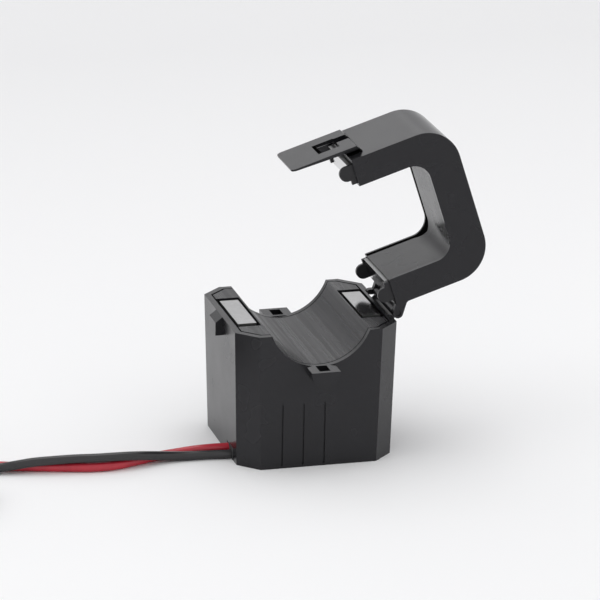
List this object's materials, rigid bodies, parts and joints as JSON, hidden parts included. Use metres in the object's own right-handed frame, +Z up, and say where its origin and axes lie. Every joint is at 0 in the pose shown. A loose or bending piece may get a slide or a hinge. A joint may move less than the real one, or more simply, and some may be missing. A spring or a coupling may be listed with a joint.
{
  "type": "split-core current transformer",
  "caption": "Split-core current transformer: black clamp with a hinged lid, snap latch, round trough for a conductor, and a red and a black lead.",
  "frame": {"origin": "centre of the case's flat underside, on the surface that it stands on", "axes": "+X towards the hinge, -X towards the latch hook and the leads, -Y the grooved front, +Z up"},
  "size_m": [0.177, 0.082, 0.0848],
  "materials": {
    "case_plastic": "black moulded plastic, fine spark texture, semi-matt",
    "cover_plastic": "black moulded plastic, semi-matt, faint machining lines along the trough",
    "lid_plastic": "black moulded plastic, fine spark texture, semi-matt",
    "liner_plastic": "dark grey moulded plastic, satin",
    "latch_plastic": "black moulded plastic, semi-matt",
    "core_steel": "wound steel strip, ends ground bright",
    "cushion_foam": "soft foam",
    "bobbin_nylon": "natural nylon",
    "enamelled_copper": "enamelled copper wire",
    "insulating_tape": "yellow polyester tape",
    "board_laminate": "green solder resist over glass laminate",
    "resistor_lacquer": "blue lacquer",
    "diode_glass": "black moulded body",
    "tinned_wire": "tinned copper, soft shine",
    "seal_rubber": "black, matt",
    "pin_plastic": "black oxide steel, matt",
    "spring_bronze": "phosphor bronze, satin",
    "red_sheath": "red flexible insulation, satin",
    "black_sheath": "black flexible insulation, soft gloss",
    "tie_plastic": "black plastic-covered wire"
  },
  "bodies": {
    "base": {"base_case": "case_plastic", "base_cover": "cover_plastic", "lower_core": "core_steel", "core_cushions": "cushion_foam", "bobbin": "bobbin_nylon", "winding": "enamelled_copper", "winding_tape": "insulating_tape", "circuit_board": "board_laminate", "burden_resistor": "resistor_lacquer", "suppressor_diode": "diode_glass", "terminal_pins": "tinned_wire", "lead_seal": "seal_rubber", "lead_tails": "tinned_wire", "hinge_pin": "pin_plastic", "red_lead": "red_sheath", "black_lead": "black_sheath", "red_coil": "red_sheath", "black_coil": "black_sheath", "red_coil_tie": "tie_plastic", "black_coil_tie": "tie_plastic", "red_lead_tip": "tinned_wire", "black_lead_tip": "tinned_wire"},
    "lid": {"lid_shell": "lid_plastic", "lid_liner": "liner_plastic", "core_spring": "spring_bronze", "latch_tongue": "latch_plastic"},
    "sprung_core": {"upper_core": "core_steel"}
  },
  "joints": [
    {"name": "lid_hinge", "type": "hinge", "parent": "base", "child": "lid", "pos_m": [0.0237, 0, 0.0363], "axis": [0, -1, 0], "range_deg": [0, 72], "deforming": ["latch_tongue"]},
    {"name": "core_float", "type": "slide", "parent": "lid", "child": "sprung_core", "axis": [0.9511, 0, 0.309], "range_m": [0, 0.00095], "deforming": ["core_spring"]}
  ],
  "couplings": [
    {"joint": "core_float", "follows": "lid_hinge", "m_per_rad": 0.00075}
  ]
}
